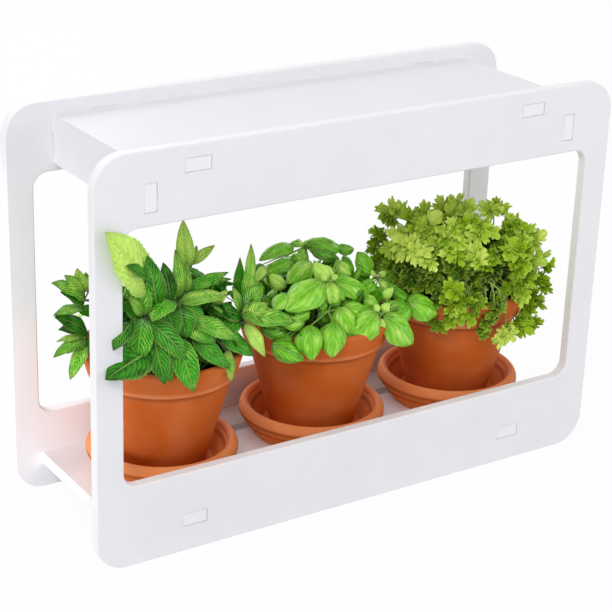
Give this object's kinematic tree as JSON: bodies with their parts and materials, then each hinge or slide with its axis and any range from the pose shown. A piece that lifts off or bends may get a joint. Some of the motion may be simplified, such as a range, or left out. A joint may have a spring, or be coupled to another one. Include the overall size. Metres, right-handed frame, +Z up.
{
  "type": "indoor herb garden",
  "caption": "Tabletop herb garden: windowed panels carry a shelf of potted herbs in saucers under a lamp housing.",
  "frame": {"origin": "on the table, under the middle of the frame", "axes": "+X along the frame's length to the right, +Y to the rear, +Z up; the front faces -Y"},
  "size_m": [0.5, 0.166, 0.344],
  "materials": {
    "white_board": "satin white paint on fibreboard",
    "terracotta": "unglazed fired clay, dry",
    "potting_soil": "moist crumbly compost",
    "mint_leaf": "soft veined leaf",
    "basil_leaf": "smooth cupped leaf",
    "parsley_leaf": "thin frilled leaf",
    "plant_stem": "green stem",
    "lamp_aluminium": "satin extruded",
    "opal_plastic": "opal diffusing",
    "white_plastic": "fine moulded texture",
    "circuit_board": "white solder mask",
    "lamp_chip": "phosphor lens",
    "screw_steel": "zinc plated",
    "black_plastic": "moulded",
    "timer_green": "solder mask",
    "button_grey": "polished",
    "spring_steel": "drawn wire",
    "contact_brass": "plated contact",
    "wire_red": "insulated wire",
    "wire_white": "insulated wire"
  },
  "bodies": {
    "frame": {"button_spring": "spring_steel", "channel_cap_left": "white_plastic", "channel_cap_right": "white_plastic", "channel_screws": "screw_steel", "control_box": "white_plastic", "control_box_screws": "screw_steel", "dc_inlet": "black_plastic", "dc_inlet_nut": "screw_steel", "dc_inlet_pin": "contact_brass", "end_board_left": "white_board", "end_board_right": "white_board", "front_panel": "white_board", "lamp_channel": "lamp_aluminium", "lamp_diffuser": "opal_plastic", "lamp_wires": "wire_red", "led_chips": "lamp_chip", "led_strip_front": "circuit_board", "led_strip_middle": "circuit_board", "led_strip_rear": "circuit_board", "rear_panel": "white_board", "saucer_centre": "terracotta", "shelf_board": "white_board", "supply_wires": "wire_red", "switch_body": "black_plastic", "switch_nut": "screw_steel", "switch_wires": "wire_white", "timer_board": "timer_green", "timer_board_screws": "screw_steel", "timer_components": "black_plastic", "top_board": "white_board"},
    "pot_left": {"pot_left": "terracotta", "soil_left": "potting_soil", "mint_stems": "plant_stem", "mint_leaves": "mint_leaf"},
    "pot_centre": {"pot_centre": "terracotta", "soil_centre": "potting_soil", "basil_stems": "plant_stem", "basil_leaves": "basil_leaf"},
    "pot_right": {"pot_right": "terracotta", "soil_right": "potting_soil", "parsley_stems": "plant_stem", "parsley_leaves": "parsley_leaf"},
    "saucer_left": {"saucer_left": "terracotta"},
    "saucer_right": {"saucer_right": "terracotta"},
    "power_button": {"power_button": "button_grey"}
  },
  "joints": [
    {"name": "saucer_left_slide", "type": "slide", "parent": "frame", "child": "saucer_left", "axis": [-1, 0, 0], "range_m": [0, 0.06]},
    {"name": "saucer_right_slide", "type": "slide", "parent": "frame", "child": "saucer_right", "axis": [1, 0, 0], "range_m": [0, 0.06]},
    {"name": "pot_left_lift", "type": "slide", "parent": "saucer_left", "child": "pot_left", "axis": [0, 0, 1], "range_m": [0, 0.025]},
    {"name": "pot_centre_lift", "type": "slide", "parent": "frame", "child": "pot_centre", "axis": [0, 0, 1], "range_m": [0, 0.025]},
    {"name": "pot_right_lift", "type": "slide", "parent": "saucer_right", "child": "pot_right", "axis": [0, 0, 1], "range_m": [0, 0.025]},
    {"name": "power_button_press", "type": "slide", "parent": "frame", "child": "power_button", "axis": [-1, 0, 0], "range_m": [0, 0.0015], "stiffness_N_per_m": 800, "springref_m": -0.001}
  ]
}
